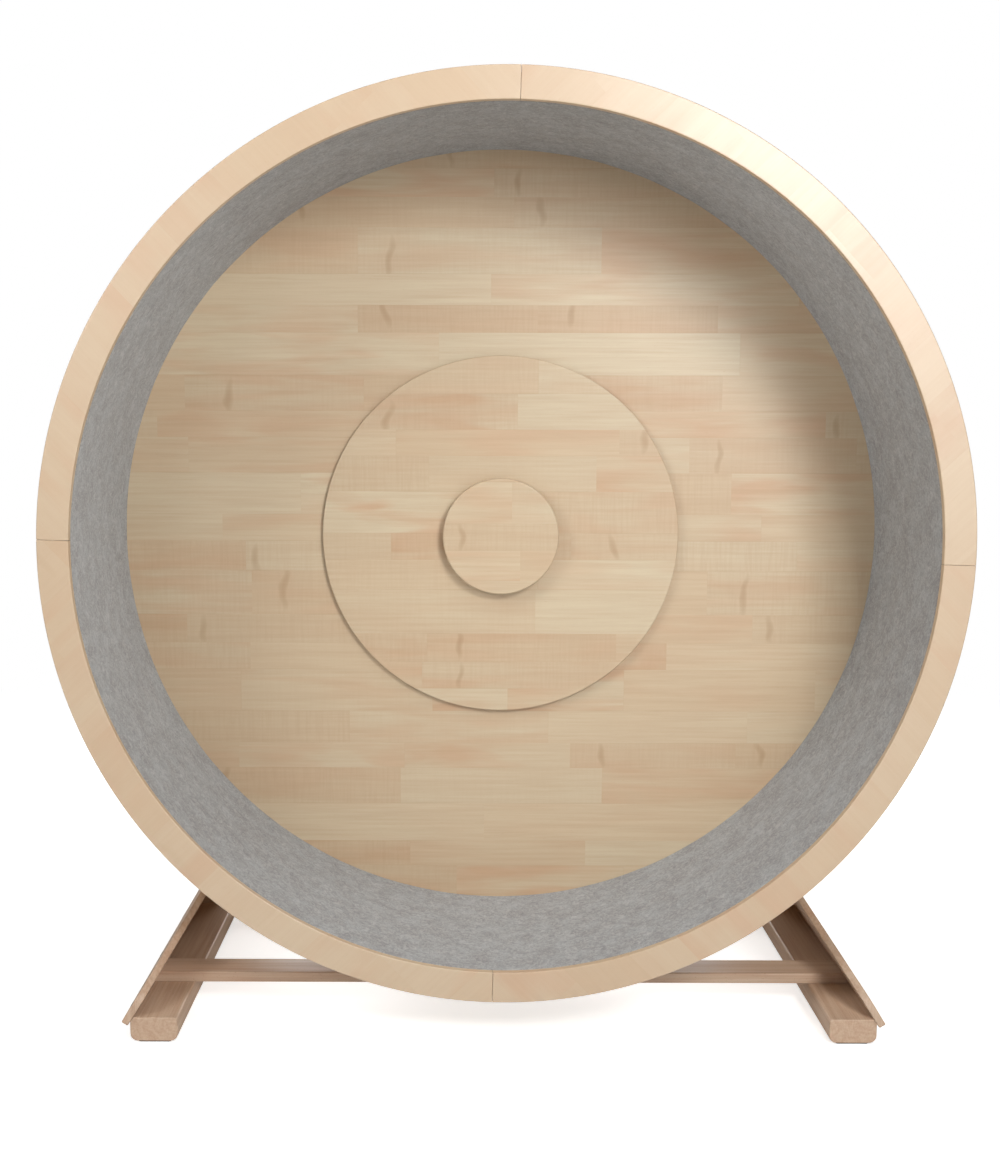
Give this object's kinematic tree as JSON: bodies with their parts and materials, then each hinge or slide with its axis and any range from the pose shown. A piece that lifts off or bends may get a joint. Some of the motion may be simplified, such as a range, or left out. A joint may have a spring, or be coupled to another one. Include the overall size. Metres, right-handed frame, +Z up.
{
  "type": "cat exercise wheel",
  "caption": "Felt-lined round wooden running wheel for a cat, open at the front, turning on an axle held by a timber A-frame behind it.",
  "frame": {"origin": "on the floor, midway between the two feet and midway along them", "axes": "+X to the right of someone facing the open front, +Y backwards along the axle, +Z up"},
  "size_m": [1.1, 0.5, 1.1523],
  "materials": {
    "rim_board": "edge-glued maple board, matt lacquer",
    "birch_ply": "birch plywood, sanded",
    "grey_felt": "mottled grey needle felt",
    "plank_board": "staggered plank board, satin lacquer",
    "batten_maple": "planed maple, matt lacquer",
    "cast_aluminium": "cast and turned",
    "bearing_steel": "ground steel",
    "zinc_steel": "zinc plated",
    "pad_rubber": "matt anti-slip rubber",
    "stand_board": "planed beech board, matt lacquer",
    "stand_beech": "planed beech, matt lacquer"
  },
  "bodies": {
    "stand": {"axle": "zinc_steel", "axle_nuts": "zinc_steel", "bearing_sleeve": "bearing_steel", "crossbar_front": "stand_beech", "crossbar_rear": "stand_beech", "foot_left": "stand_beech", "foot_pad_front_left": "pad_rubber", "foot_pad_front_right": "pad_rubber", "foot_pad_rear_left": "pad_rubber", "foot_pad_rear_right": "pad_rubber", "foot_right": "stand_beech", "head_block": "stand_beech", "head_plate_front": "stand_board", "head_plate_rear": "stand_board", "head_washers": "zinc_steel", "leg_left": "stand_beech", "leg_right": "stand_beech", "side_board_left": "stand_board", "side_board_right": "stand_board"},
    "wheel": {"back_panel": "plank_board", "batten_1": "batten_maple", "batten_2": "batten_maple", "batten_3": "batten_maple", "batten_4": "batten_maple", "batten_5": "batten_maple", "batten_6": "batten_maple", "batten_7": "batten_maple", "batten_8": "batten_maple", "bearing_housing": "cast_aluminium", "bearing_outer_rings": "bearing_steel", "housing_bolts": "zinc_steel", "hub_cap": "plank_board", "hub_disc": "plank_board", "rim_quarter_1": "rim_board", "rim_quarter_2": "rim_board", "rim_quarter_3": "rim_board", "rim_quarter_4": "rim_board", "rim_splines": "birch_ply", "track_lining": "grey_felt", "track_shell": "birch_ply"}
  },
  "joints": [
    {"name": "wheel_spin", "type": "hinge", "parent": "stand", "child": "wheel", "pos_m": [0, 0.067, 0.6023], "axis": [0, 1, 0], "continuous": true}
  ]
}
